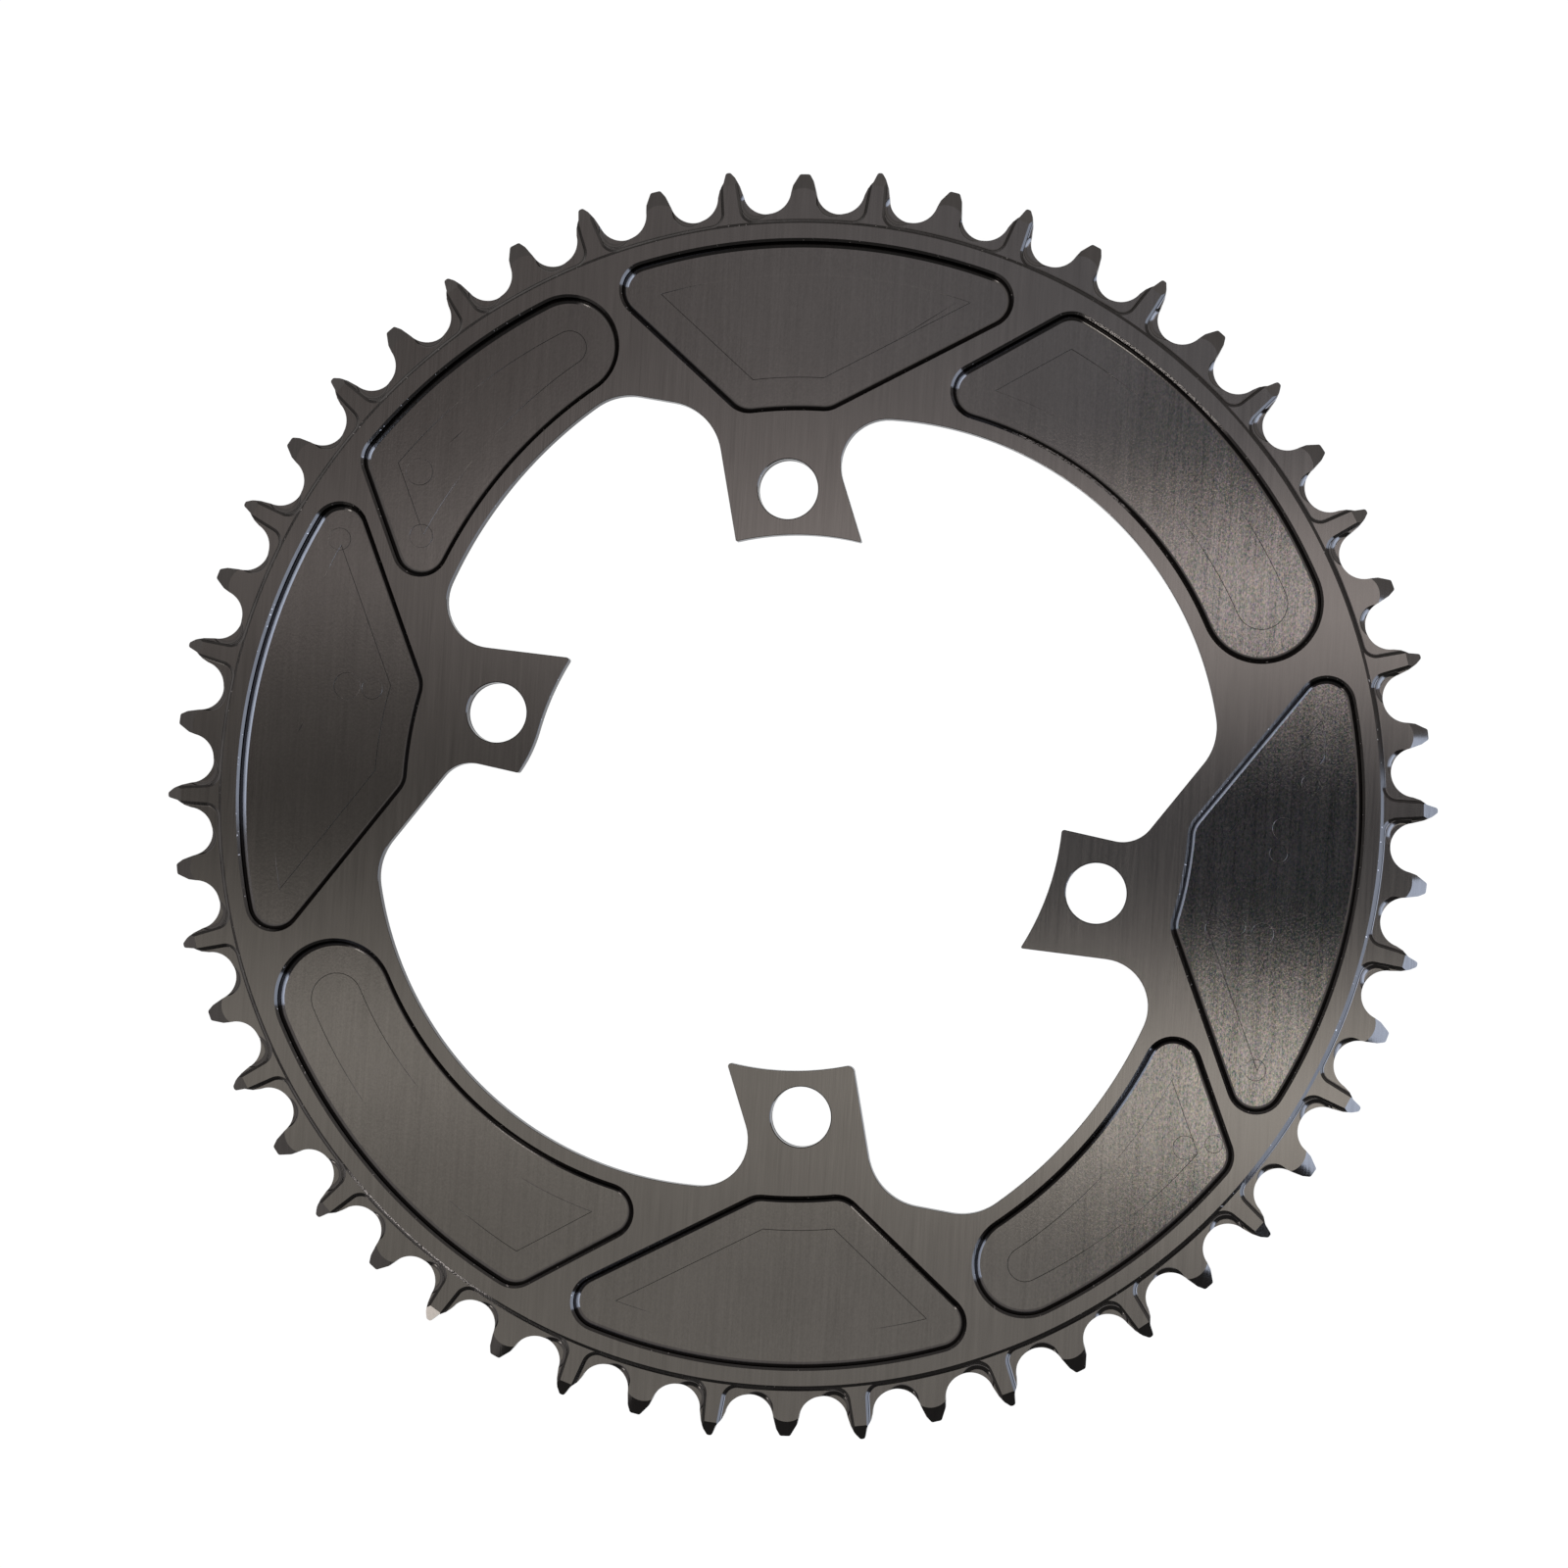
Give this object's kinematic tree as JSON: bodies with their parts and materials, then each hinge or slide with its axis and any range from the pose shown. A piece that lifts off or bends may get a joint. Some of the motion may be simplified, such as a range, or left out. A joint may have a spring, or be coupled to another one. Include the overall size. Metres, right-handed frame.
{
  "type": "bicycle chainring",
  "caption": "Narrow-wide bicycle chainring with a tooth ring, weight-saving pockets and bolt tabs around an open centre.",
  "frame": {"origin": "centre of the bolt circle, on the flat back face", "axes": "+Z out of the front, pocketed face; a roller seat lies on +X, and the four bolt holes are at 36 degrees each side of +Y and -Y"},
  "size_m": [0.217, 0.217, 0.0038],
  "materials": {
    "anodised_aluminium": "dark satin anodised, finely brushed faces"
  },
  "bodies": {
    "root": {"chainring": "anodised_aluminium"}
  },
  "joints": []
}
